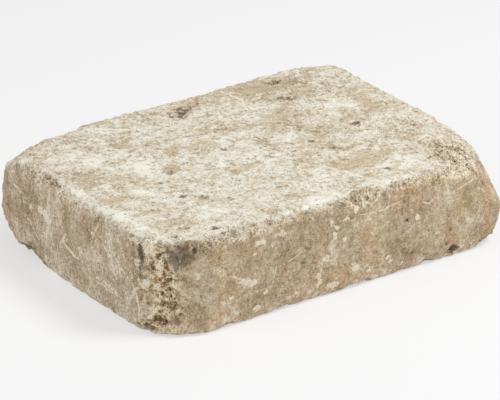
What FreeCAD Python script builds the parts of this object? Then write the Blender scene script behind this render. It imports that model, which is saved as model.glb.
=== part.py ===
"""A tumbled concrete retaining wall block: pressed in one piece, its arrises and corners worn in a drum.

Millimetres, +Z up. X runs along the wall, Y through it. The block rests on its bed face at Z = 0, and the
origin is the middle of its outline box there. The front face looks along -Y.
"""

import FreeCAD, Part
import math
import os

NODE = "wall_block"

# The block over its widest outline
LENGTH = 281.0
DEPTH = 211.0
HEIGHT = 68.0

# Height of the widest outline, the waist, and in how many steps the wall is drawn from there to each band
WAIST = 25.0
STEPS_BELOW_WAIST = 2
STEPS_ABOVE_WAIST = 3

# The worn band where a side wall turns into the bed or the top: how far along the wall it reaches, and how
# far in it comes
BED_BAND = 9.0
BED_WEAR = 5.0
TOP_BAND = 8.0
TOP_WEAR = 5.0

# How far the middle of a side wall stands inside its widest outline at the bed and at the top
WALL_HOLLOW = 1.2

# Angles round a worn band at which it is drawn, from the flat face to the upright wall
BAND_ANGLES = (90.0, 70.0, 50.0, 33.0, 16.0, 0.0)

# Upright corners: their side along X and Y, and the radius they are worn to at the bed, waist and top
CORNERS = {
    "front_left": {"side": (-1, -1), "bed": 42.0, "waist": 26.0, "top": 28.0},
    "front_right": {"side": (1, -1), "bed": 31.0, "waist": 9.0, "top": 60.0},
    "back_right": {"side": (1, 1), "bed": 30.0, "waist": 18.0, "top": 24.0},
    "back_left": {"side": (-1, 1), "bed": 36.0, "waist": 13.0, "top": 28.0},
}

# How far towards the sharp corner the two inner poles of a quarter round lie
ROUND_SHARE = 4 / 3 * (math.sqrt(2) - 1)

# How fast a corner's radius grows away from the waist: 1 in a straight line, 2 in a parabola
CORNER_SWEEP = 1.5

# Side walls, in order round the block, each between two corners. The bites are how much further than the
# worn band the drum has eaten into the bed and the top outline at three places along the wall, or less far
# where negative. The last value is how deep the side's chips go, as a share of the depths given below
SIDES = {
    "front": {
        "ends": ("front_left", "front_right"),
        "bed": (-0.4, -1.6, -1.4),
        "top": (1.6, 0.4, 1.2),
        "chipped": 0.8,
    },
    "right": {
        "ends": ("front_right", "back_right"),
        "bed": (1.0, 2.0, 0.8),
        "top": (2.2, 0.6, 1.6),
        "chipped": 0.7,
    },
    "back": {
        "ends": ("back_right", "back_left"),
        "bed": (1.4, 0.5, 2.4),
        "top": (3.0, 5.0, 4.0),
        "chipped": 0.55,
    },
    "left": {
        "ends": ("back_left", "front_left"),
        "bed": (-2.6, -4.0, -2.6),
        "top": (1.4, 0.4, 1.8),
        "chipped": 0.6,
    },
}

# Where along a side wall its bites are, as shares of the way between its two rounded corners
BITE_PLACES = (0.25, 0.5, 0.75)

# Flat breaks across a corner of the bed (-1) or the top (1): how far from the sharp corner each one
# reaches along the length, through the depth and up or down the upright corner
BREAKS = {
    "front_right_top": {"corner": "front_right", "face": 1, "reach": (66.0, 86.0, 18.0)},
    "front_right_upright": {"corner": "front_right", "face": 1, "reach": (34.0, 46.0, 46.0)},
    "front_right_bed": {"corner": "front_right", "face": -1, "reach": (28.0, 26.0, 14.0)},
    "front_left_top": {"corner": "front_left", "face": 1, "reach": (28.0, 38.0, 16.0)},
    "front_left_upright": {"corner": "front_left", "face": 1, "reach": (42.0, 19.0, 420.0)},
    "back_left_bed": {"corner": "back_left", "face": -1, "reach": (34.0, 40.0, 24.0)},
    "back_left_top": {"corner": "back_left", "face": 1, "reach": (50.0, 36.0, 20.0)},
    "back_right_top": {"corner": "back_right", "face": 1, "reach": (44.0, 22.0, 8.0)},
    "back_right_upright": {"corner": "back_right", "face": -1, "reach": (19.0, 26.0, 230.0)},
}

# Spalls, flakes knocked off an arris: the side wall and the face they lie between, how far from the wall's
# middle they are (towards its second corner), and the radius of the round hollow and its depth, counted
# from the sharp arris
SPALLS = {
    "front_top_notch": {"side": "front", "face": 1, "along": 22.0, "radius": 20.0, "depth": 8.0},
    "front_top_flake": {"side": "front", "face": 1, "along": -74.0, "radius": 110.0, "depth": 6.0},
    "left_top_flake": {"side": "left", "face": 1, "along": -38.0, "radius": 34.0, "depth": 6.0},
    "left_bed_flake": {"side": "left", "face": -1, "along": -63.0, "radius": 20.0, "depth": 7.0},
    "back_top_slope": {"side": "back", "face": 1, "along": 96.0, "radius": 70.0, "depth": 9.0},
    "back_top_flake": {"side": "back", "face": 1, "along": -30.0, "radius": 30.0, "depth": 6.5},
    "right_bed_flake": {"side": "right", "face": -1, "along": 18.0, "radius": 32.0, "depth": 8.0},
    "back_bed_flake": {"side": "back", "face": -1, "along": 52.0, "radius": 26.0, "depth": 8.0},
}

# Chips crumble the arrises of the bed and the top. They stand about this far apart and take these shapes in
# turn. Each is a wedge with its ridge across the arris: how deep the ridge lies, how far the chip reaches
# along the arris before and after it, how far it is moved from its place, and the ridge's turn in degrees
CHIP_PITCH = 21.0
CHIP_SHAPES = (
    {"depth": 2.9, "before": 5.0, "after": 12.0, "moved": -1.0, "turn": 20.0},
    {"depth": 1.5, "before": 8.0, "after": 6.0, "moved": -7.0, "turn": -12.0},
    {"depth": 3.3, "before": 11.0, "after": 4.5, "moved": 5.0, "turn": -25.0},
    {"depth": 1.2, "before": 6.0, "after": 9.5, "moved": 1.0, "turn": 8.0},
    {"depth": 2.2, "before": 13.0, "after": 7.0, "moved": 7.0, "turn": 30.0},
    {"depth": 2.9, "before": 6.0, "after": 7.5, "moved": -5.0, "turn": -6.0},
    {"depth": 1.7, "before": 4.5, "after": 10.0, "moved": 2.0, "turn": -32.0},
)

# Chips down the upright corners, by their height: how far their ridge lies from the sharp corner
CORNER_CHIPS = {
    "front_left": {9.0: 21.0, 26.0: 20.5, 42.0: 21.5, 55.0: 21.0},
    "front_right": {14.0: 5.6},
    "back_right": {14.0: 17.5, 32.0: 17.0, 49.0: 18.5},
    "back_left": {17.0: 7.4, 36.0: 7.6},
}

# How far a wedge opens past its chip, as a share of the chip's depth, and how long its ridge is
WEDGE_OPENING = 8.0
WEDGE_WIDTH = 80.0


def vector(x, y, z):
    return FreeCAD.Vector(x, y, z)


def sharp_corner(name, z, inset=0.0):
    """The pressed block's corner at height z, on an outline that stands inset inside the widest one."""
    side_x, side_y = CORNERS[name]["side"]
    return vector(side_x * (LENGTH / 2 - inset), side_y * (DEPTH / 2 - inset), z)


def inward(start, end):
    """The level direction into the block from a side wall, where the corners run anticlockwise."""
    along = (end - start).normalize()
    return vector(-along.y, along.x, 0)


def band_levels(face):
    """The outlines of the worn band at the bed or the top, from the flat face to the wall."""
    band, wear = (BED_BAND, BED_WEAR) if face == "bed" else (TOP_BAND, TOP_WEAR)
    levels = []
    for angle in BAND_ANGLES:
        turn = math.radians(angle)
        worn = 1 - math.cos(turn)
        from_face = band * (1 - math.sin(turn))
        z = from_face if face == "bed" else HEIGHT - from_face
        levels.append({"z": z, "inset": wear * worn, "worn": worn, "face": face})
    return levels


def wall_levels():
    """The outlines of the upright wall between the two worn bands, among them the waist."""
    room_below = WAIST - BED_BAND
    below = [BED_BAND + room_below * step / STEPS_BELOW_WAIST for step in range(1, STEPS_BELOW_WAIST)]
    room_above = HEIGHT - TOP_BAND - WAIST
    above = [WAIST + room_above * step / STEPS_ABOVE_WAIST for step in range(STEPS_ABOVE_WAIST)]
    return [{"z": z, "inset": 0.0, "worn": 0.0, "face": "top"} for z in below + above]


def from_waist(z):
    """0 at the waist, growing evenly to 1 at the bed and at the top."""
    return (WAIST - z) / WAIST if z < WAIST else (z - WAIST) / (HEIGHT - WAIST)


def corner_radius(name, z):
    """The radius that an upright corner is worn to at height z."""
    corner = CORNERS[name]
    end = corner["bed"] if z < WAIST else corner["top"]
    return corner["waist"] + (end - corner["waist"]) * from_waist(z) ** CORNER_SWEEP


def side_edge(side, level):
    """One side wall's line at a level: it starts and ends straight, and the bites push its middle in."""
    first, last = (sharp_corner(name, level["z"], level["inset"]) for name in side["ends"])
    along = (last - first).normalize()
    into_block = inward(first, last)
    start = first + along * corner_radius(side["ends"][0], level["z"])
    end = last - along * corner_radius(side["ends"][1], level["z"])
    points = [start]
    for place, bite in zip(BITE_PLACES, side[level["face"]]):
        hollow = WALL_HOLLOW * from_waist(level["z"]) ** 2 * math.sin(math.pi * place)
        points.append(start + (end - start) * place + into_block * (bite * level["worn"] + hollow))
    points.append(end)
    places = [0.0, *BITE_PLACES, 1.0]
    line = Part.BSplineCurve()
    line.interpolate(Points=points, Parameters=places, InitialTangent=along, FinalTangent=along)
    return line.toShape()


def corner_edge(before, after, name, level):
    """The rounded corner at a level, from the end of one side wall's line to the start of the next."""
    start = before.Curve.value(before.LastParameter)
    end = after.Curve.value(after.FirstParameter)
    corner = sharp_corner(name, level["z"], level["inset"])
    line = Part.BezierCurve()
    line.setPoles([start, start + (corner - start) * ROUND_SHARE, end + (corner - end) * ROUND_SHARE, end])
    return line.toShape()


def outline(level):
    """The block's closed outline at a level, as side walls and rounded corners in turn."""
    sides = list(SIDES.values())
    walls = [side_edge(side, level) for side in sides]
    edges = []
    for number, (side, wall) in enumerate(zip(sides, walls)):
        following = walls[(number + 1) % len(walls)]
        edges.append(wall)
        edges.append(corner_edge(wall, following, side["ends"][1], level))
    return Part.Wire(edges)


def worn_body():
    """The block with its worn bands and rounded corners, ruled from each of its outlines to the next."""
    levels = band_levels("bed") + wall_levels() + band_levels("top")[::-1]
    return Part.makeLoft([outline(level) for level in levels], True, True)


def half_space(point, normal):
    """A box far larger than the block, all on the outer side of a plane through point."""
    size = 2 * (LENGTH + DEPTH + HEIGHT)
    box = Part.makeBox(size, size, size, vector(-size / 2, -size / 2, 0))
    box.Placement = FreeCAD.Placement(point, FreeCAD.Rotation(vector(0, 0, 1), normal))
    return box


def flat_break(corner, face, reach):
    """What a flat break across one corner of the bed or the top takes away."""
    side_x, side_y = CORNERS[corner]["side"]
    tip = sharp_corner(corner, HEIGHT if face > 0 else 0.0)
    reach_x, reach_y, reach_z = reach
    normal = vector(side_x / reach_x, side_y / reach_y, face / reach_z).normalize()
    return half_space(tip - vector(side_x * reach_x, 0, 0), normal)


def spall(side, face, along, radius, depth):
    """The ball that hollows a flake out of the arris between a side wall and the bed or the top."""
    first, last = (sharp_corner(name, HEIGHT if face > 0 else 0.0) for name in SIDES[side]["ends"])
    place = (first + last) * 0.5 + (last - first).normalize() * along
    outward = (vector(0, 0, face) - inward(first, last)).normalize()
    return Part.makeSphere(radius, place + outward * (radius - depth))


def wedge(tip, along, outward, shape):
    """A chip's wedge, which opens outward from the middle of its ridge at tip."""
    along = FreeCAD.Rotation(outward, shape["turn"]).multVec(along)
    rise = outward * shape["depth"]
    after = tip + (rise + along * shape["after"]) * WEDGE_OPENING
    before = tip + (rise - along * shape["before"]) * WEDGE_OPENING
    across = along.cross(outward) * WEDGE_WIDTH
    profile = Part.Face(Part.makePolygon([tip, after, before, tip]))
    return profile.translated(across * -0.5).extrude(across)


def worn_off(side, face):
    """How far the drum has worn an arris down from the sharp one, on average and square to the arris."""
    bites = SIDES[side]["bed" if face < 0 else "top"]
    band, wear = (BED_BAND, BED_WEAR) if face < 0 else (TOP_BAND, TOP_WEAR)
    return (math.sqrt(2) - 1) * math.sqrt(band * (wear + sum(bites) / len(bites)))


def arris_chips(side, face):
    """The chips along a side wall's arris with the bed or the top, short of its rounded corners."""
    first, last = (sharp_corner(name, HEIGHT if face > 0 else 0.0) for name in SIDES[side]["ends"])
    start, end = (CORNERS[name]["bed" if face < 0 else "top"] for name in SIDES[side]["ends"])
    along = (last - first).normalize()
    outward = (vector(0, 0, face) - inward(first, last)).normalize()
    room = (last - first).Length - start - end
    count = int(room / CHIP_PITCH)
    chips = []
    for number in range(count):
        shape = CHIP_SHAPES[number % len(CHIP_SHAPES)]
        run = start + room * (number + 0.5) / count + shape["moved"]
        depth = worn_off(side, face) + shape["depth"] * SIDES[side]["chipped"]
        chips.append(wedge(first + along * run - outward * depth, along, outward, shape))
    return chips


def corner_chips(corner, depths):
    """The chips down an upright corner."""
    side_x, side_y = CORNERS[corner]["side"]
    outward = vector(side_x, side_y, 0).normalize()
    chips = []
    for number, (height, depth) in enumerate(depths.items()):
        shape = CHIP_SHAPES[number]
        chips.append(wedge(sharp_corner(corner, height) - outward * depth, vector(0, 0, 1), outward, shape))
    return chips


def wall_block():
    """The whole block: its worn body, less its breaks, spalls and chips."""
    struck_off = [flat_break(**what) for what in BREAKS.values()]
    struck_off += [spall(**what) for what in SPALLS.values()]
    for side in SIDES:
        struck_off += arris_chips(side, -1) + arris_chips(side, 1)
    for corner, depths in CORNER_CHIPS.items():
        struck_off += corner_chips(corner, depths)
    return worn_body().cut(struck_off).Solids[0]


os.makedirs("parts", exist_ok=True)
block = wall_block()
block.exportStep(f"parts/{NODE}.step")
box = block.optimalBoundingBox(False, False)
print(f"{NODE}: valid {block.isValid()}, {len(block.Faces)} faces, {block.Volume / 1000:.1f} cm3,")
print(f"  {box.XLength:.2f} x {box.YLength:.2f} x {box.ZLength:.2f} mm, bed at Z {box.ZMin:.2f}")
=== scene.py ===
import math

import bpy
import numpy as np
from mathutils import Matrix, Vector


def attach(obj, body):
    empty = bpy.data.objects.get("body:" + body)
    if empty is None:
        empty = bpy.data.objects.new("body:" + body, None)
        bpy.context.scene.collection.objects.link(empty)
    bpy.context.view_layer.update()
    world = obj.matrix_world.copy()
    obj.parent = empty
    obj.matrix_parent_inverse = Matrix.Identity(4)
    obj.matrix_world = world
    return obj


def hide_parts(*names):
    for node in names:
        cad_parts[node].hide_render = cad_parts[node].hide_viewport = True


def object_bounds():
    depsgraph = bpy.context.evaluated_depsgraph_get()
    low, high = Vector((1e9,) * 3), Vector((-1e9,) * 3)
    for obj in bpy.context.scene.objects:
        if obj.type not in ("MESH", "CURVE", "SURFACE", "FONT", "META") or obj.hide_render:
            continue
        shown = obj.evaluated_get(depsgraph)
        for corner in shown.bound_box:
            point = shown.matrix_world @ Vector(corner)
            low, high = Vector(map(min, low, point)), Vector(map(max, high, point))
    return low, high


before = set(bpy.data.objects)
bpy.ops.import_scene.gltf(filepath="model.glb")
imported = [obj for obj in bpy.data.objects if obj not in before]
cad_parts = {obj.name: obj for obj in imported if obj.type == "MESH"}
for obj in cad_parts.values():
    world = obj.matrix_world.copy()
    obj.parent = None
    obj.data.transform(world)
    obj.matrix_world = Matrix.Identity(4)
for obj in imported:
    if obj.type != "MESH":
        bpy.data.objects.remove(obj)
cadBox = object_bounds()

mm = 0.001

# How far the block reaches from the middle of its bed, in mm
halfLength, halfDepth, height = [round(reach / mm, 1) for reach in cadBox[1]]


# Node maths

class Wire:
    # One socket of a node tree. Maths on it adds Math nodes, or Vector Math where a vector or colour takes
    # part, and node() adds any other kind: its settings first, then the values or links of its sockets.
    def __init__(self, tree, socket=None):
        self.tree = tree
        self.socket = socket

    def node(self, kind, settings=None, inputs=None, output=0):
        made = self.tree.nodes.new(kind)
        for name, value in (settings or {}).items():
            setattr(made, name, value)
        for name, value in (inputs or {}).items():
            spot = made.inputs[name] if isinstance(name, int) else next(
                s for s in made.inputs if s.name == name and s.enabled)
            if isinstance(value, Wire):
                self.tree.links.new(value.socket, spot)
            elif spot.type == "RGBA":
                spot.default_value = (*value, 1)
            else:
                spot.default_value = value
        if not made.outputs:
            return made
        if isinstance(output, str):
            return Wire(self.tree, made.outputs[output])
        return Wire(self.tree, [s for s in made.outputs if s.enabled][output])

    def maths(self, operation, *values, output=0):
        if not any(isinstance(v, Wire) and v.socket.type in ("VECTOR", "RGBA") for v in values):
            return self.node("ShaderNodeMath", {"operation": operation}, dict(enumerate(values)), output)
        values = [(v, v, v) if isinstance(v, (int, float)) else v for v in values]
        return self.node("ShaderNodeVectorMath", {"operation": operation}, dict(enumerate(values)), output)

    def __add__(self, other):
        return self.maths("ADD", self, other)

    def __sub__(self, other):
        return self.maths("SUBTRACT", self, other)

    def __rsub__(self, other):
        return self.maths("SUBTRACT", other, self)

    def __mul__(self, other):
        return self.maths("MULTIPLY", self, other)

    def __truediv__(self, other):
        return self.maths("DIVIDE", self, other)

    __radd__ = __add__
    __rmul__ = __mul__

    def atLeast(self, other):
        return self.maths("MAXIMUM", self, other)

    def atMost(self, other):
        return self.maths("MINIMUM", self, other)

    def size(self):  # without its sign
        return self.maths("ABSOLUTE", self)

    def dot(self, other):
        return self.maths("DOT_PRODUCT", self, other, output="Value")

    def parts(self):
        split = self.node("ShaderNodeSeparateXYZ", {}, {"Vector": self}).socket.node
        return [Wire(self.tree, socket) for socket in split.outputs]

    def ramp(self, low, high, smooth=True):  # 0 below low, 1 above high
        kind = "SMOOTHSTEP" if smooth else "LINEAR"
        return self.node("ShaderNodeMapRange", {"interpolation_type": kind}, {
            "Value": self, "From Min": low, "From Max": high})

    def mix(self, first, second):  # first where this is 0, second where it is 1
        return self.node("ShaderNodeMix", {"data_type": "RGBA"}, {"Factor": self, "A": first, "B": second})

    def through(self, colours):  # a run of colours, spread evenly from 0 to 1
        shade, step = colours[0], 1 / (len(colours) - 1)
        for number, colour in enumerate(colours[1:]):
            shade = self.ramp(number * step, (number + 1) * step, smooth=False).mix(shade, colour)
        return shade

    def noise(self, size, detail=2.0, rough=0.5):
        # About 0, with size as its wave length. A number added to the place first gives another such noise
        return self.node("ShaderNodeTexNoise", {}, {
            "Vector": self, "Scale": 1 / size, "Detail": detail, "Roughness": rough}, "Fac") - 0.5

    def drift(self, size, reach):  # the same place, carried off by up to about a third of reach
        off = self.node("ShaderNodeTexNoise", {}, {"Vector": self, "Scale": 1 / size}, "Color")
        return self + (off - (0.5, 0.5, 0.5)) * reach

    def cells(self, size, output="Distance"):  # uneven cells about that far apart
        return self.node("ShaderNodeTexVoronoi", {}, {"Vector": self, "Scale": 1 / size}, output)


# The block's own mesh: a copy of the CAD node, made of small even faces

blockLook = {
    "weld": 0.01,           # mm, within which the corners of the CAD's loose triangles are merged
    "voxel": 1.0,           # mm, the size of its faces before it is worn
    "triangles": 192000,    # how many are left in the end
    "arris": (0.02, 0.2),   # how far a normal leans from its wall where the arris begins and is full
    "arrisBlur": 12,        # rounds of blurring that carry the wear of the arris into the faces,
    "ridgeBlur": 7,         # and that smooth the surface which ridges stand out of
    # How far the faces are pushed in and out by each kind of wear, in mm, and how wide that kind is
    "wave": 1.6,            # long waves in the walls and, less, in the top
    "waveSize": 60,
    "crumble": 5.0,         # how uneven the arrises are,
    "crumbleSize": 15,
    "sunk": 0.3,            # and how far in they stand
    "stone": 1.6,           # stones standing out of them, and holes where some are gone
    "stoneSize": 4.5,
    "goneSize": 6,
    "grain": 0.9,           # sand showing on the faces
    "grainSize": 3.4,
    "pit": 1.5,             # depth of the named dents and of the air holes
    "pitApart": 13,
}


def applyModifier(piece, kind, **settings):
    bpy.context.view_layer.objects.active = piece
    modifier = piece.modifiers.new(kind.lower(), kind)
    for name, value in settings.items():
        setattr(modifier, name, value)
    bpy.ops.object.modifier_apply(modifier=modifier.name)


def copyOfNode(name, pieceName):
    # A copy of a CAD node that stands alone, without its tags, and with its loose triangles merged
    bpy.ops.object.select_all(action="DESELECT")
    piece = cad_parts[name].copy()
    piece.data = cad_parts[name].data.copy()
    piece.name = piece.data.name = pieceName
    for key in list(piece.keys()):
        del piece[key]
    piece.parent = None
    piece.data.materials.clear()
    bpy.context.scene.collection.objects.link(piece)
    piece.select_set(True)
    bpy.context.view_layer.objects.active = piece
    bpy.ops.object.mode_set(mode="EDIT")
    bpy.ops.mesh.select_all(action="SELECT")
    bpy.ops.mesh.remove_doubles(threshold=blockLook["weld"] * mm)
    bpy.ops.object.mode_set(mode="OBJECT")
    return piece


def read(mesh, what):  # one row for each point of the mesh
    values = np.zeros(len(mesh.vertices) * 3, np.float32)
    mesh.vertices.foreach_get(what, values)
    return values.reshape(-1, 3)


def paint(mesh, name, values):
    layer = mesh.attributes.new(name, "FLOAT", "POINT")
    layer.data.foreach_set("value", values.astype(np.float32))


def ramp(values, low, high):  # as the nodes' ramp: 0 below low, 1 above high
    t = np.clip((values - low) / (high - low), 0, 1)
    return t * t * (3 - 2 * t)


def spots(points, marks):
    # Soft round spots added up: each is a place and a reach in mm, and how strong it is
    total = np.zeros(len(points))
    for place, reach, strength in marks:
        away = (((points - place) / reach) ** 2).sum(1)
        total += strength * np.exp(-away)
    return total


# Where the surface is more broken (above 0) or smoother (below 0) than its arris makes it: place and reach in
# mm, and how much
roughSpots = [
    ((-132, -85, 58), (8, 8, 8), 1.0),          # front left upright corner, from its top down
    ((-129, -88, 47), (8, 8, 9), 0.9),
    ((-126, -91, 36), (8, 8, 9), 0.9),
    ((-126, -91, 24), (9, 8, 9), 0.8),
    ((-131, -87, 12), (9, 8, 9), 0.9),
    ((-119, -97, 58), (9, 6, 7), 0.6),
    ((116, -80, 62), (26, 28, 10), 1.2),        # speckled break at the front right
    ((130, -94, 38), (20, 24, 16), -1.6),       # smooth ledge below it
    ((20, -103, 63), (18, 6, 6), 0.8),          # notch in the front arris
    ((-60, -103, 63), (60, 5, 5), 0.4),
    ((80, -103, 62), (30, 5, 6), 0.6),
    ((-4, 78, 68), (9, 12, 8), 1.0),            # sand pocket by the back arris
    ((-137, 20, 64), (6, 80, 6), 0.6),          # crumbly arris along the left
    ((95, -105, 6), (8, 6, 7), 0.6),
]

# Dents in mm: place, reach and depth
dents = [
    ((-9, 73, 68), (2.4, 2.6, 5), 1.9), ((-4, 77, 68), (3, 2.6, 5), 2.1), ((2, 80, 68), (3, 2, 5), 1.7),
    ((7, 84, 68), (3.4, 1.8, 5), 1.5), ((-11, 82, 68), (2.4, 2.2, 5), 1.4),
    ((-3, 85, 68), (3, 1.6, 5), 1.5), ((-14, 76, 68), (2, 2, 5), 1.3), ((13, 85, 68), (2.2, 1.8, 4), 1.4),
    ((81, 86, 68), (5, 3, 5), 1.8), ((74, 55, 68), (6, 3, 5), 1.6), ((67, 60, 68), (3, 2, 4), 1.0),
    ((84, -7, 68), (5, 2.2, 4), 1.5), ((116, -32, 67), (3, 2.4, 4), 1.5),
    ((41, -15, 68), (2.2, 2.2, 4), 1.6), ((46, -33, 68), (4, 2, 4), 1.0), ((-15, 8, 68), (2.5, 3, 4), 1.4),
    ((-8, 10, 68), (3, 2, 4), 1.1), ((-26, -14, 68), (2.4, 1.8, 4), 1.3), ((-66, -4, 68), (3, 3.4, 4), 1.6),
    ((-50, 4, 68), (4, 1.8, 4), 1.1), ((-80, -40, 68), (3.6, 1.8, 4), 1.3),
    ((-69, -49, 68), (3.4, 3.2, 4), 1.7), ((-80, -14, 68), (2, 2, 4), 1.3),
    ((-56, -62, 68), (2.2, 1.6, 4), 1.1), ((-90, -93, 68), (3, 2.2, 4), 1.8),
    ((-118, -88, 67), (3, 2, 4), 1.2), ((-106, -83, 68), (2.4, 2, 4), 1.2),
    ((90, -83, 66), (3, 2.2, 4), 1.6), ((57, -82, 68), (2.8, 2.4, 4), 1.7), ((95, -105, 6), (4, 4, 3), 3.0),
    ((-138, -79, 57), (4, 1.5, 9), 2.0), ((-130, -87, 56), (2.4, 3, 2.6), 1.3),
    ((-133, -84, 48), (3, 2.4, 2.6), 1.4), ((-126, -91, 51), (2, 2, 2.6), 1.2),
    ((-126, -92, 34), (3, 2.6, 2), 1.3), ((-122, -96, 31), (3, 3, 2), 1.2),
    ((-130, -88, 12), (3, 3, 2.6), 1.8), ((-127, -90, 11), (2, 2, 2), 1.4),
    ((-120, -97, 16), (2, 2, 1.6), 1.2), ((-140, -76, 6), (2, 3, 2), 1.3), ((-136, -81, 6), (2, 3, 2), 1.4),
    ((-111, -100, 60), (2, 2, 2), 1.6), ((-139, 67, 4), (5, 9, 4), 1.4),
]


def markRough(mesh):
    # "arris" is 1 on the worn edges and corners, and "grit" where the block is broken open. "dent" is how
    # deep the named dents are, and "up" goes from 1 on the top to -1 on the bed
    points = read(mesh, "co") / mm
    normals = read(mesh, "normal")
    lean = 1 - np.abs(normals).max(1)
    broken = spots(points, roughSpots)
    paint(mesh, "arris", np.clip(ramp(lean, *blockLook["arris"]) + broken, 0, 1))
    paint(mesh, "grit", np.clip(broken, 0, 1))
    paint(mesh, "dent", spots(points, dents))
    paint(mesh, "up", normals[:, 2])


def wearNodes():
    # Pushes the faces in and out by noise. What the colours need of it is kept as attributes: "relief" is the
    # grain and the dents, and "ridge" how far a point stands out of the surface around it
    tree = bpy.data.node_groups.new("weathering", "GeometryNodeTree")
    tree.interface.new_socket("Geometry", in_out="INPUT", socket_type="NodeSocketGeometry")
    tree.interface.new_socket("Geometry", in_out="OUTPUT", socket_type="NodeSocketGeometry")
    start = Wire(tree).node("NodeGroupInput")

    def attribute(name):
        return start.node("GeometryNodeInputNamedAttribute", {"data_type": "FLOAT"}, {"Name": name})

    position = start.node("GeometryNodeInputPosition")
    normal = start.node("GeometryNodeInputNormal")
    place = position / mm
    arris = attribute("arris")
    up = attribute("up")
    top = up.ramp(0.6, 0.9)
    bed = (0 - up).ramp(0.6, 0.9)

    worn = arris.node("GeometryNodeBlurAttribute", {"data_type": "FLOAT"}, {
        "Value": arris, "Iterations": blockLook["arrisBlur"]})
    worn = (worn + (place + 15).noise(12, 3, 0.6) * 0.9 * worn.ramp(0.02, 0.2)).atLeast(0.0).atMost(1.0)

    wave = place.noise(blockLook["waveSize"], 1) * (1 - top * 0.6) * blockLook["wave"]
    coarse = place.noise(blockLook["crumbleSize"], 3, 0.6) * blockLook["crumble"] - blockLook["sunk"]
    middle = (place + 40).noise(6, 3, 0.65) + (place + 12).noise(2.8, 2) * 0.4
    middle = middle * blockLook["crumble"] * 0.9
    loose = place + (place + 5).noise(6, 3) * 5
    stone = (0.45 - loose.cells(blockLook["stoneSize"])) * blockLook["stone"]
    gone = loose.cells(blockLook["goneSize"], "Color").ramp(0.68, 0.72)
    gone = gone * (1 - loose.cells(blockLook["goneSize"]).ramp(0.2, 0.5)) * blockLook["stone"]
    crumble = (coarse + middle + stone * worn - gone) * worn

    sand = (place * (1, 1.5, 1)).noise(blockLook["grainSize"], 4, 0.7) + (place + 50).noise(9, 2) * 0.5
    sand = sand * blockLook["grain"] * (1 + worn) * (1 - bed * 0.7)
    dent = (attribute("dent") * 0.7 + place.noise(3.5, 4, 0.65) * 3.4).ramp(0.5, 0.85)
    chosen = place.cells(blockLook["pitApart"], "Color").ramp(0.0, 1.0, smooth=False) + top * 0.06
    middles = place.cells(blockLook["pitApart"]) + place.noise(3) * 0.35
    holes = chosen.ramp(0.79, 0.8) * (1 - bed) * (1 - middles.ramp(0.06, 0.15))
    relief = sand - dent.atLeast(holes) * ((place + 8).noise(2.6, 2) * 3.5 + 1) * blockLook["pit"]
    moved = position + normal * ((wave + crumble + relief) * mm)
    x, y, z = moved.parts()
    moved = z.node("ShaderNodeCombineXYZ", {}, {"X": x, "Y": y, "Z": z.atLeast(0.0)})
    around = moved.node("GeometryNodeBlurAttribute", {"data_type": "FLOAT_VECTOR"}, {
        "Value": moved, "Iterations": blockLook["ridgeBlur"]})
    ridge = (moved - around).dot(normal) / mm

    shaped = start
    for name, value in (("relief", relief), ("ridge", ridge), ("arris", worn)):
        shaped = shaped.node("GeometryNodeStoreNamedAttribute", {"data_type": "FLOAT", "domain": "POINT"}, {
            "Geometry": shaped, "Name": name, "Value": value})
    shaped = shaped.node("GeometryNodeSetPosition", {}, {"Geometry": shaped, "Position": moved})
    shaped.node("NodeGroupOutput", {}, {"Geometry": shaped})
    return tree


def countTriangles(piece):
    return sum(len(face.vertices) - 2 for face in piece.data.polygons)


def makeBlock():
    block = copyOfNode("wall_block", "tumbled_block")
    applyModifier(block, "REMESH", mode="VOXEL", voxel_size=blockLook["voxel"] * mm, use_smooth_shade=True)
    markRough(block.data)
    print("block: remeshed to", len(block.data.polygons), "faces")
    applyModifier(block, "NODES", node_group=wearNodes())
    applyModifier(block, "DECIMATE", ratio=blockLook["triangles"] / countTriangles(block))
    bpy.ops.object.shade_smooth()
    print("block: worn, and down to", countTriangles(block), "triangles")
    return block


# The colours are painted by place, and broken up by noise in the material

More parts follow.
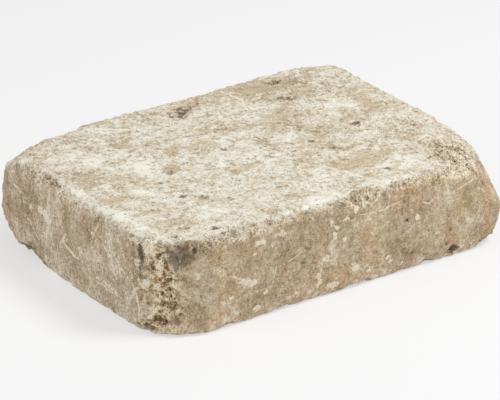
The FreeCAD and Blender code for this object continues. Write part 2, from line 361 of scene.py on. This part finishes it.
finish = {
    # The ground colours, each from its darkest to its palest patches
    "top": [(0.34, 0.25, 0.145), (0.56, 0.44, 0.285), (0.71, 0.615, 0.46),
            (0.84, 0.775, 0.625), (0.97, 0.93, 0.80)],
    "wall": [(0.21, 0.145, 0.08), (0.40, 0.29, 0.177), (0.565, 0.43, 0.28),
             (0.735, 0.61, 0.44), (0.95, 0.865, 0.72)],
    "grit": [(0.10, 0.07, 0.035), (0.33, 0.235, 0.135), (0.58, 0.455, 0.30),
             (0.83, 0.73, 0.55), (0.97, 0.93, 0.80)],
    "sand": (0.66, 0.535, 0.37),        # warm sand on the top
    "cream": (0.90, 0.85, 0.715),       # the veil of lime on the top, and there edges rubbed pale with a painted highlight
    "lime": (1.0, 0.965, 0.845),        # flakes, scuffs and scratches on the top, and pebbles
    "creamAndBounceLight": (0.90, 0.81, 0.65),          # cream patches, thicker low on the walls where they are partly painted light, flecks, and edges rubbed pale with a painted highlight
    "scuff": (0.99, 0.885, 0.71),       # scuffs and scratches on the walls
    "reddish": (1.05, 0.965, 0.905),    # these three are times the wall's colour
    "olive": (0.88, 0.885, 0.80),
    "cool": (0.98, 0.99, 1.0),
    "golden": (1.09, 1.0, 0.885),       # and these times the colour of what is broken, on its sides
    "bleached": (0.985, 0.96, 0.925),   # and on top
    "stainAndShade": (0.40, 0.29, 0.165),       # brown specks and clefts, and painted shade in the hollows and dents
    "dark": (0.12, 0.085, 0.045),       # cracks, and painted shade in holes and hollows
    # soot, and painted shade in dents and under the front arris
    "sootAndShade": (0.13, 0.108, 0.075),
    # How wide the main patterns are, in mm
    "sizes": {"clouds": 42, "sand": 20, "patches": 15, "flakes": 5, "wisps": 6, "specks": 2.2,  # on the top
              "blotches": 26, "reddish": 24, "olive": 17, "mottle": 2.6,                        # on the walls
              "stones": 2.6, "lumps": 7, "pebbles": 3.4},                                       # where broken
    # How strongly each kind of mark covers what is under it
    "shows": {"sand": 0.6, "veil": 0.3, "flakes": 0.85, "bare": 0.7, "clefts": 0.8,
              "brownSpecks": 0.6, "creamPatches": 0.8, "creamFlecks": 0.85,
              "pebbles": 0.9,
              "rubbedAndHighlit": 0.45, "stainAndShade": 0.5, "hollows": 0.7, "cracks": 0.85, "holes": 0.6, "sootAndShade": 0.8,
              "scratches": 0.85, "hairlines": 0.6},
    "bounceLightHeight": 16,                    # mm, up to where the walls are painted lighter, as light thrown up from the floor, and have more cream patches
    "besideScratch": (3, 4),            # mm from the middle of a scratch, over which it ends
    "hairlines": [(20, 1.9), (75, 1.5), (130, 1.7)],    # degrees that each set is turned, and mm apart
    "roughness": 0.92,
    "specular": 0.25,
    "bump": 1.1,                        # mm, and how much of it is taken
    "bumpStrength": 0.8,
}

# Where lime lies thick, where it has worn off, and where it is darker, with soot and with painted shade in
# dents and under the front arris: place and reach in mm, and how strong
limeSpots = [
    ((-76, 15, 68), (16, 14, 20), 1.2), ((-96, 47, 68), (26, 10, 20), 0.9), ((33, -1, 68), (8, 7, 10), 1.0),
    ((-20, -15, 68), (30, 22, 20), 0.5), ((-15, -97, 68), (11, 5, 9), 1.1),
    ((97, 28, 68), (20, 13, 20), 0.6), ((110, -11, 68), (10, 8, 10), 0.5),
    ((70, -79, 68), (12, 9, 10), 0.5), ((-135, 3, 66), (6, 14, 6), 1.2), ((-99, -17, 68), (5, 5, 10), 1.6),
    ((-112, -31, 68), (6, 4, 10), 1.3), ((-138, 70, 62), (6, 10, 8), 0.6), ((-27, 35, 68), (6, 4, 10), 1.2),
    ((-1, 7, 68), (10, 6, 10), 0.9), ((2, 21, 68), (12, 5, 10), 0.7), ((-6, -11, 68), (10, 5, 10), 0.8),
    ((-136, -10, 65), (7, 80, 6), 0.7), ((0, -100, 67), (110, 4, 3), 0.5),
    ((-127, -61, 68), (5, 30, 5), 0.5), ((40, -76, 68), (22, 6, 10), 0.6),
    ((-60, -40, 68), (26, 14, 20), 0.4), ((-130, -86, 45), (3, 4, 3.5), 1.5),
    ((-125, -94, 48), (3, 3, 2.5), 1.2), ((-134, -84, 62), (2.4, 4, 3.5), 1.0),
    ((-136, -84, 37), (3, 3, 4), 1.3), ((-128, -89, 27), (4, 4, 2.5), 1.2),
    ((-120, -96, 38), (4, 4, 5), 0.8), ((-122, -97, 18), (4, 4, 4), 0.6),
]
tanSpots = [
    ((-68, 104, 67), (34, 8, 10), 0.9), ((19, 89, 68), (34, 12, 10), 0.8),
    ((80, 84, 68), (26, 14, 10), 0.7), ((46, 31, 68), (18, 16, 10), 0.5),
    ((-133, 54, 67), (8, 14, 10), 0.6), ((-118, 21, 68), (12, 12, 10), 0.5),
    ((-128, -23, 68), (7, 14, 10), 0.7), ((-34, 26, 68), (16, 5, 10), 0.6), ((-62, 3, 68), (6, 6, 10), 1.4),
    ((113, 27, 68), (8, 22, 10), 0.6), ((98, -41, 68), (22, 10, 10), 0.6),
    ((67, -61, 68), (24, 10, 10), 0.7), ((-73, 56, 68), (5, 4, 10), 1.0), ((-28, -27, 68), (5, 4, 10), 1.0),
    ((-134, -83, 51), (3, 3, 3), 0.9), ((-122, -95, 31), (4, 4, 3), 0.8), ((-125, -92, 23), (5, 4, 4), 0.9),
    ((-131, -87, 10), (6, 5, 3.5), 0.9), ((-130, -87, 57), (3, 3, 4), 0.7),
]
sootAndShadeSpots = [
    ((-120, -96, 56), (9, 7, 7), 2.3), ((-7, 78, 68), (6, 6, 8), 0.4), ((94, -105, 7), (4, 5, 3), 1.6),
    ((-139, 61, 6), (6, 10, 5), 1.3), ((-130, -88, 12), (5, 5, 3), 1.0), ((81, 86, 68), (6, 4, 8), 0.4),
    ((74, 55, 68), (7, 4, 8), 0.4), ((37, -104, 62), (3, 4, 2.5), 0.9), ((-140, 69, 39), (4, 1, 5), 0.9),
    ((1, -104, 63), (5, 4, 2), 0.9), ((-25, -103, 65), (4, 4, 1.6), 0.8), ((-53, -102, 65), (5, 4, 2), 0.8),
    ((-81, -100, 65), (3, 4, 3), 0.9), ((19, -100, 63), (4, 4, 3), 0.7),
]

# Pale scuffs, in the same way, and crisp where they are strong
scuffSpots = [
    ((-110, -105, 42), (4, 6, 5), 1.2), ((-71, -105, 28), (6, 6, 3), 1.3),
    ((-78, -105, 32), (6, 6, 3), 0.8), ((-66, -105, 55), (2.5, 6, 2), 1.2),
    ((-61, -105, 55), (2.5, 6, 2.5), 1.3), ((-54, -105, 50), (2, 6, 2), 0.9),
    ((-68, -105, 48), (2, 6, 2), 0.9), ((-47, -105, 57), (8, 6, 3), 0.9), ((-7, -105, 53), (3, 6, 3), 1.0),
    ((-2, -105, 49), (2.5, 6, 2), 1.1), ((-4, -105, 43), (2, 6, 4), 1.2),
    ((-11, -105, 29), (3, 6, 3.5), 1.4), ((-17, -105, 18), (3, 6, 2.5), 1.3),
    ((-5, -105, 8), (6, 6, 2.5), 1.4), ((-16, -105, 12), (5, 6, 3), 1.0), ((-35, -105, 10), (4, 6, 3), 0.8),
    ((-66, -105, 9), (6, 6, 4), 0.9), ((-93, -105, 20), (3, 6, 2.5), 1.1),
    ((-87, -105, 22), (3, 6, 3), 0.8), ((-60, -105, 18), (3, 6, 5), 0.7),
    ((14, -105, 58), (2.5, 6, 4), 1.0), ((5, -105, 53), (4, 6, 2.5), 0.9),
    ((24, -105, 49), (2.5, 6, 2.5), 1.3), ((64, -105, 39), (3, 6, 4), 1.0),
    ((74, -105, 40), (3, 6, 3), 0.7), ((58, -105, 35), (2, 6, 2), 0.9), ((4, -105, 39), (2, 6, 2), 1.2),
    ((13, -105, 16), (6, 6, 5), 1.0), ((41, -105, 15), (4, 6, 5), 0.9), ((24, -105, 12), (5, 6, 5), 0.8),
    ((51, -105, 8), (4, 6, 3), 0.8), ((122, -104, 27), (3, 8, 3), 0.8), ((-140, 41, 43), (6, 8, 5), 1.0),
    ((-140, 32, 38), (6, 6, 4), 0.8), ((-140, 56, 40), (6, 4, 4), 0.8), ((-140, -76, 51), (6, 4, 4), 1.0),
    ((-140, -52, 19), (6, 4, 2.5), 1.0), ((-140, 4, 27), (6, 5, 2), 1.0), ((-140, -23, 51), (6, 2, 2), 1.1),
    ((-135, -84, 13), (2, 3, 2), 1.8), ((-130, -86, 45), (1.5, 3, 2.5), 1.2),
    ((-136, -83, 38), (3, 3, 3.5), 1.3),
]

# Scratches, from one end to the other, and how wide they are, in mm
scratches = [
    ((-72, 91, 68), (-51, 74, 68), 3.5), ((24, -55, 68), (34, -83, 68), 2.2),
    ((-127, -61, 68), (-124, -91, 67), 2.6), ((40, 93, 68), (43, 72, 68), 1.8),
    ((64, -83, 68), (66, -101, 68), 1.6), ((-6, 44, 68), (24, 34, 68), 1.2),
    ((58, -14, 68), (84, -30, 68), 1.4), ((-48, -58, 68), (-20, -54, 68), 1.2),
    ((8, -30, 68), (20, -52, 68), 1.2), ((-85, -105, 37), (-72, -105, 29), 2.2),
    ((16, -105, 53), (34, -105, 51.5), 0.7), ((34, -105, 51.5), (48, -105, 54), 0.9),
    ((69, -105, 49), (74, -105, 46), 1.2), ((74, -105, 46), (79, -105, 50), 1.2),
    ((94, -105, 49), (112, -105, 54), 1.1), ((-14, -105, 25), (-17, -105, 18), 1.4),
    ((-51, -105, 33), (-54, -105, 23), 0.8), ((-45, -105, 34), (-33, -105, 38), 0.8),
    ((-90, -105, 60), (-72, -105, 64), 1.0), ((-140, 33, 38), (-140, 36, 24), 1.6),
    ((-140, 18, 27), (-140, 11, 37), 2.6), ((-140, 11, 29), (-140, -3, 25), 2.6),
    ((-140, -6, 34), (-140, -13, 30), 2.2), ((-140, -30, 59), (-140, -22, 46), 1.4),
    ((-140, -22, 46), (-140, -22, 38), 1.4), ((-140, -38, 47), (-140, -44, 43), 2.1),
    ((-140, -54, 61), (-140, -62, 48), 1.3), ((-140, -54, 42), (-140, -67, 35), 1.9),
    ((-140, -45, 35), (-140, -51, 32), 1.6), ((-140, -33, 19), (-140, -45, 17), 2.1),
    ((-140, -37, 22), (-140, -47, 20), 1.8), ((-140, -25, 27), (-140, -28, 17), 1.4),
    ((-140, 77, 49), (-140, 68, 47), 1.9), ((-140, -78, 40), (-136, -83, 31), 2.6),
    ((-140, -75, 32), (-140, -68, 21), 2.4), ((-140, -76, 28), (-139, -77, 20), 2.4),
    ((-140, 60, 30), (-140, 48, 20), 1.4),
]


def acrossScratch(points):
    # The signed distance to the nearest scratch, in widths of it, and 1 beside a scratch, 0 further off
    farOff = 20  # widths, past which the distance no longer counts
    nearest = np.full(len(points), np.inf)
    across = np.full(len(points), np.inf)
    for start, end, width in scratches:
        start, end = np.array(start, float), np.array(end, float)
        length = np.linalg.norm(end - start)
        along = (end - start) / length
        gap = points - start - np.clip((points - start) @ along, 0, length)[:, None] * along
        away = np.linalg.norm(gap, axis=1)
        onTop = min(start[2], end[2]) > height - 3
        side = np.cross(along, (0, 0, 1) if onTop else (1, 1, 0))  # across it, in its wall
        closer = away < nearest
        nearest[closer] = away[closer]
        across[closer] = np.where(gap @ side < 0, -away, away)[closer] / width
    return np.clip(across, -farOff, farOff), 1 - ramp(nearest, *finish["besideScratch"])


def markFinish(mesh):
    points = read(mesh, "co") / mm
    paint(mesh, "lime", spots(points, limeSpots) - spots(points, tanSpots))
    paint(mesh, "sootAndShade", spots(points, sootAndShadeSpots))
    paint(mesh, "scuff", spots(points, scuffSpots))
    across, near = acrossScratch(points)
    paint(mesh, "scratch", across)
    paint(mesh, "scratched", near)


def topColour(place, fine, lime):
    # Warm sand under a veil of lime, which has worn through in patches and is thick in crisp flakes
    sizes, shows = finish["sizes"], finish["shows"]
    drifted = place.drift(22, 14) * (0.85, 1, 1)
    patch = drifted.noise(sizes["patches"], 6, 0.66)
    flake = (drifted + 70).noise(sizes["flakes"], 4, 0.7)
    broad = lime * 0.35 + place.noise(sizes["clouds"], 2) * 0.7
    speck = (place * (1, 0.6, 1) + 11).noise(sizes["specks"], 3, 0.75)
    tone = broad * 1.2 + patch * 1.8 + flake * 2.1 + speck * 2.1 + fine * 2.2
    colour = (tone + 0.72).through(finish["top"])
    sand = (drifted + 200).noise(sizes["sand"], 4, 0.6) * 2 - broad * 1.4 - flake * 0.8 + speck * 0.8
    colour = (sand.ramp(0.15, 0.3) * shows["sand"]).mix(colour, finish["sand"])
    veil = (broad + patch * 1.3 + flake * 1.2 + speck * 1.4).ramp(0.02, 0.14)
    colour = (veil * shows["veil"]).mix(colour, finish["cream"])

    # The crust of lime: flakes, and crisp wisps and flecks
    flakes = (broad + patch * 1.2 + flake * 1.9 + speck * 1.2).ramp(0.17, 0.22)
    wisps = (drifted * (0.8, 0.9, 1) + 300).noise(sizes["wisps"], 4, 0.7) + patch * 0.2
    flecks = (place + 500).noise(4.5, 3, 0.65) + patch * 0.2
    crust = (flakes * shows["flakes"]).atLeast(wisps.ramp(0.15, 0.17)).atLeast(flecks.ramp(0.16, 0.17))
    colour = crust.mix(colour, finish["lime"])

    # Bare brown spots between them, and clefts: thin lines where noise crosses 0
    bare = (drifted * (0.7, 0.8, 1) + 400).noise(4, 4, 0.7) * 1.2 + speck * 0.5 - patch * 0.4
    colour = (bare.ramp(0.21, 0.26) * shows["bare"] * (1 - crust)).mix(colour, finish["stainAndShade"])
    clefts = 1 - (place * (0.8, 1, 1) + 600).noise(7, 3, 0.6).size().ramp(0.01, 0.03)
    clefts = clefts * ((place + 650).noise(8, 3, 0.6) - patch * 0.2).ramp(0.06, 0.12)
    colour = (clefts * shows["clefts"]).mix(colour, finish["stainAndShade"])
    return colour, crust


def wallColour(place, fine):
    # Smooth, in broad reddish and olive blotches under fine mottling, painted lighter low down as light
    # thrown up from the floor, with more cream patches there, and painted shade under the arris
    sizes, shows = finish["sizes"], finish["shows"]
    x, y, z = place.parts()
    drifted = place.drift(14, 8) * (1, 1, 0.8)
    blotch = (drifted + 60).noise(sizes["blotches"], 4, 0.6)
    patch = (drifted + 9).noise(8, 4, 0.65)
    mottle = (place * (1, 1, 0.6) + 20).noise(sizes["mottle"], 3, 0.65)
    streak = (place * (1, 1, 0.25) + 45).noise(3, 2)
    # Painted light: lighter and with more cream patches towards the bottom, as though lit from the floor
    creamAndBounceLight = 1 - z.ramp(0, finish["bounceLightHeight"])
    end = x.size().ramp(halfLength - 8.5, halfLength - 1.5)  # 1 on the two end walls
    end = end * y.size().ramp(halfDepth - 15.5, halfDepth - 27.5)
    under = z.ramp(height - 18, height - 5) * (1 - end)  # 1 under the arris of the long walls, where painted shade makes them darker
    under = under * (place + 75).noise(16, 4, 0.65).ramp(-0.12, 0.12)
    tone = blotch * (0.95 + end * 0.5) + patch * 0.8 + mottle * 0.5 + streak * 0.15 + fine * (1.4 + end * 0.3)
    colour = (tone + end * 0.02 + creamAndBounceLight * 0.08 - under * 0.12 + 0.565).through(finish["wall"])

    reddish = ((drifted + 15).noise(sizes["reddish"], 3, 0.6) - end * 0.1).ramp(-0.04, 0.16)
    olive = (drifted + 90).noise(sizes["olive"], 3, 0.6).ramp(0.02, 0.15)
    cool = end * z.ramp(height - 8, height - 22)
    for tint, name in ((reddish, "reddish"), (olive, "olive"), (cool, "cool")):
        colour = colour * tint.mix((1, 1, 1), finish[name])

    speck = (place + 150).noise(2.6, 3, 0.7) + end * z.ramp(height - 13, height - 38) * 0.05 + blotch * 0.2
    colour = (speck.ramp(0.17, 0.2) * shows["brownSpecks"]).mix(colour, finish["stainAndShade"])
    fleck = (place + 33).noise(4, 4, 0.65) + end * 0.02
    cream = creamAndBounceLight * 0.2 + patch * 1.1 + blotch * 0.5 + fleck * 1.4
    colour = (cream.ramp(0.26, 0.31) * shows["creamPatches"]).mix(colour, finish["creamAndBounceLight"])
    return ((fleck + creamAndBounceLight * 0.04).ramp(0.17, 0.19) * shows["creamFlecks"]).mix(colour, finish["creamAndBounceLight"])


def gritColour(place, fine, ridge, upper, pale):
    # What the block is made of, where its arrises are broken: pale and dark stones in brown sand
    sizes, shows = finish["sizes"], finish["shows"]
    drifted = place.drift(5, 3)
    stones = drifted.cells(sizes["stones"], "Color").ramp(0.1, 0.9, smooth=False) - 0.5
    lumps = drifted.noise(sizes["lumps"], 4, 0.65) * 2.2 + (place + 35).noise(20, 2) + pale * 0.25
    # Ridge makes it paler where it stands out and darker where it sinks: painted highlight and shade
    tone = (lumps + ridge * 0.4) * (1 - upper * 0.25) + stones * 0.3 + fine * (2.2 + upper)
    colour = (tone + 0.63 - upper * 0.08).through(finish["grit"])
    colour = colour * upper.mix(finish["golden"], finish["bleached"])
    pebbles = (place + 90).noise(sizes["pebbles"], 3, 0.65) + ridge * 0.05
    return (pebbles.ramp(0.12, 0.15) * shows["pebbles"]).mix(colour, finish["lime"])


def concreteMaterial():
    material = bpy.data.materials.new("tumbled concrete")
    material.use_nodes = True
    tree = material.node_tree
    tree.nodes.clear()
    start = Wire(tree)

    def attribute(name):
        return start.node("ShaderNodeAttribute", {"attribute_name": name}, output="Fac")

    shows = finish["shows"]
    place = start.node("ShaderNodeTexCoord", output="Object") * (1 / mm)
    relief = attribute("relief")
    ridge = attribute("ridge")
    dent = attribute("dent")
    small = (place + 70).noise(4.5, 4, 0.65)
    fine = place.noise(1.9, 3, 0.7) + (place + 30).noise(0.9, 1) * 0.7
    edge = small + fine * 0.6  # frays the border of whatever it is added to

    lime = attribute("lime")
    up = attribute("up")
    upper = up.ramp(0.3, 0.7)
    limed, crust = topColour(place, fine, lime)
    colour = (up + edge * 1.4 + lime * 0.2).ramp(0.65, 0.72).mix(wallColour(place, fine), limed)
    grit = (attribute("arris") + edge * 1.5).ramp(0.4, 0.8) * 0.35
    grit = grit + (attribute("grit") + edge * 1.5).ramp(0.2, 0.7) * 0.65
    colour = grit.mix(colour, gritColour(place, fine, ridge, upper, lime))

    # Paler where it stands out: edges rubbed pale, with a painted highlight. Darker in the hollows and the
    # dents: painted shade
    rubbedAndHighlit = (ridge + edge * 0.6).ramp(0.15, 0.8) * shows["rubbedAndHighlit"]
    colour = rubbedAndHighlit.mix(colour, upper.mix(finish["creamAndBounceLight"], finish["cream"]))
    # Painted shade: darker in the dents and where the surface sinks below what is around it
    stainAndShade = (dent + edge * 2.5).ramp(0.4, 1.1).atLeast(((0 - ridge) + edge * 0.8).ramp(0.2, 0.9))
    colour = (stainAndShade * shows["stainAndShade"]).mix(colour, finish["stainAndShade"])
    # Painted shade, near black, in deep hollows of the relief and in the cores of the dents; the cracks in
    # the dents are the block's own
    hollow = ((0 - relief) + fine * 0.8).ramp(0.8, 2.0) * shows["hollows"]
    crack = 1 - (place * (1, 0.7, 1) + 8).noise(5, 3, 0.65).size().ramp(0.015, 0.045)
    crack = crack * (dent + small * 0.6).ramp(0.3, 0.6) * shows["cracks"]
    hole = (dent + small * 5 + fine * 3).ramp(1.15, 1.3) * shows["holes"]
    colour = hollow.atLeast(crack).atLeast(hole).mix(colour, finish["dark"])
    # Soot, and painted shade in the dents and under the front arris
    sootAndShade = (attribute("sootAndShade") * 0.6 + small * 2.5 + fine * 2.5).ramp(0.35, 0.7)
    colour = (sootAndShade * shows["sootAndShade"]).mix(colour, finish["sootAndShade"])

    # Scuffs, and thin scratches that fade in and out
    scuff = (attribute("scuff") * 0.9 + edge * 1.2).ramp(0.55, 0.62) * (0.85 + fine * 1.5 + small)
    line = 1 - ((attribute("scratch") + small * 1.5).size() + fine * 0.8).ramp(0.3, 0.6)
    line = line * attribute("scratched") * (small + fine + 0.5).ramp(0.3, 0.5)
    for turn, apart in finish["hairlines"]:
        turned = place.node("ShaderNodeVectorRotate", {"rotation_type": "AXIS_ANGLE"}, {
            "Vector": place.drift(30, 9), "Axis": (0.5, 0.6, 0.62), "Angle": math.radians(turn)})
        dashes = (turned * (0.2, 1, 1) + turn).noise(apart, 1) + (place + turn).noise(25, 1) * 0.25
        line = line.atLeast(dashes.ramp(0.25, 0.29) * shows["hairlines"])
    colour = scuff.atLeast(line * shows["scratches"]).mix(colour, upper.mix(finish["scuff"], finish["lime"]))

    raised = fine * 0.4 + small * 0.3 + crust * upper * 0.35 + scuff * 0.2
    bump = start.node("ShaderNodeBump", {}, {
        "Height": raised, "Distance": finish["bump"] * mm, "Strength": finish["bumpStrength"]})
    shader = start.node("ShaderNodeBsdfPrincipled", {}, {
        "Base Color": colour, "Roughness": finish["roughness"], "Specular IOR Level": finish["specular"],
        "Normal": bump})
    start.node("ShaderNodeOutputMaterial", {}, {"Surface": shader})
    return material


def makeFinish(block):
    markFinish(block.data)
    block.data.materials.append(concreteMaterial())
    print("block: finish painted")


# Stage, lights and camera

stageLook = {
    "floorSize": 6.0,       # m
    "floor": (0.86, 0.86, 0.86),
    "shadowKept": 0.5,      # how much of the floor's own shading the camera sees,
    "white": 1.08,          # and how bright the rest of it is
    "world": 0.42,          # how bright the room is for the block; the camera sees it white
}
lamps = {                   # degrees, with azimuth 0 in front of the block, then m and W
    "key": {"azimuth": 44, "elevation": 58, "away": 1.6, "size": 0.6, "power": 13.0},
    "fill": {"azimuth": -95, "elevation": 30, "away": 1.8, "size": 1.4, "power": 6.5},
}
cameraLook = {
    "azimuth": -34.27, "elevation": 24.70, "roll": -0.46,   # degrees
    "away": 2048, "aim": (-4.7, -7.5, 33.0),                # mm
    "lens": 216, "sensor": 36,                              # mm
    "furthest": 50,                                         # m
}


def towards(azimuth, elevation):  # the way from the block to a lamp or the camera, 1 long
    a, e = math.radians(azimuth), math.radians(elevation)
    return Vector((math.sin(a) * math.cos(e), -math.cos(a) * math.cos(e), math.sin(e)))


def seenByCamera(start):
    # 1 for what the camera sees, also in gloss and through glass, and 0 for the light on the block
    rays = [start.node("ShaderNodeLightPath", output=name)
            for name in ("Is Camera Ray", "Is Glossy Ray", "Is Transmission Ray")]
    return rays[0].atLeast(rays[1]).atLeast(rays[2])


def makeStage():
    # A pale floor that keeps a soft shadow, in a room that the camera sees white
    bpy.ops.object.select_all(action="DESELECT")
    bpy.ops.mesh.primitive_plane_add(size=stageLook["floorSize"])
    floor = bpy.context.object
    floor.name = "floor"
    material = bpy.data.materials.new("pale floor")
    material.use_nodes = True
    material.node_tree.nodes.clear()
    start = Wire(material.node_tree)
    unshaded = seenByCamera(start) * (1 - stageLook["shadowKept"])
    plain = start.node("ShaderNodeBsdfDiffuse", {}, {"Color": stageLook["floor"]})
    white = start.node("ShaderNodeEmission", {}, {"Color": (1, 1, 1), "Strength": stageLook["white"]})
    mixed = start.node("ShaderNodeMixShader", {}, {0: unshaded, 1: plain, 2: white})
    start.node("ShaderNodeOutputMaterial", {}, {"Surface": mixed})
    floor.data.materials.append(material)

    world = bpy.data.worlds.new("studio")
    world.use_nodes = True
    world.node_tree.nodes.clear()
    start = Wire(world.node_tree)
    brightness = seenByCamera(start) * (1 - stageLook["world"]) + stageLook["world"]
    light = start.node("ShaderNodeBackground", {}, {"Color": (1, 1, 1), "Strength": brightness})
    start.node("ShaderNodeOutputWorld", {}, {"Surface": light})
    bpy.context.scene.world = world


def makeLamps():
    aim = Vector(cameraLook["aim"]) * mm
    for name, lamp in lamps.items():
        data = bpy.data.lights.new(name, "AREA")
        data.shape = "DISK"
        data.size = lamp["size"]
        data.energy = lamp["power"]
        light = bpy.data.objects.new(name, data)
        bpy.context.scene.collection.objects.link(light)
        out = towards(lamp["azimuth"], lamp["elevation"])
        light.location = aim + out * lamp["away"]
        light.rotation_euler = out.to_track_quat("Z", "Y").to_euler()


def makeCamera():
    data = bpy.data.cameras.new("camera")
    data.lens = cameraLook["lens"]
    data.sensor_width = cameraLook["sensor"]
    data.clip_end = cameraLook["furthest"]
    camera = bpy.data.objects.new("camera", data)
    bpy.context.scene.collection.objects.link(camera)
    back = towards(cameraLook["azimuth"], cameraLook["elevation"])
    camera.location = (Vector(cameraLook["aim"]) + back * cameraLook["away"]) * mm
    turned = back.to_track_quat("Z", "Y") @ Matrix.Rotation(
        math.radians(cameraLook["roll"]), 3, "Z").to_quaternion()
    camera.rotation_euler = turned.to_euler()
    bpy.context.scene.camera = camera


block = makeBlock()
makeFinish(block)
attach(block, "root")
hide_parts("wall_block")
makeStage()
makeLamps()
makeCamera()
bpy.context.scene.view_settings.view_transform = "Standard"
print("stage: floor, lamps and camera placed")
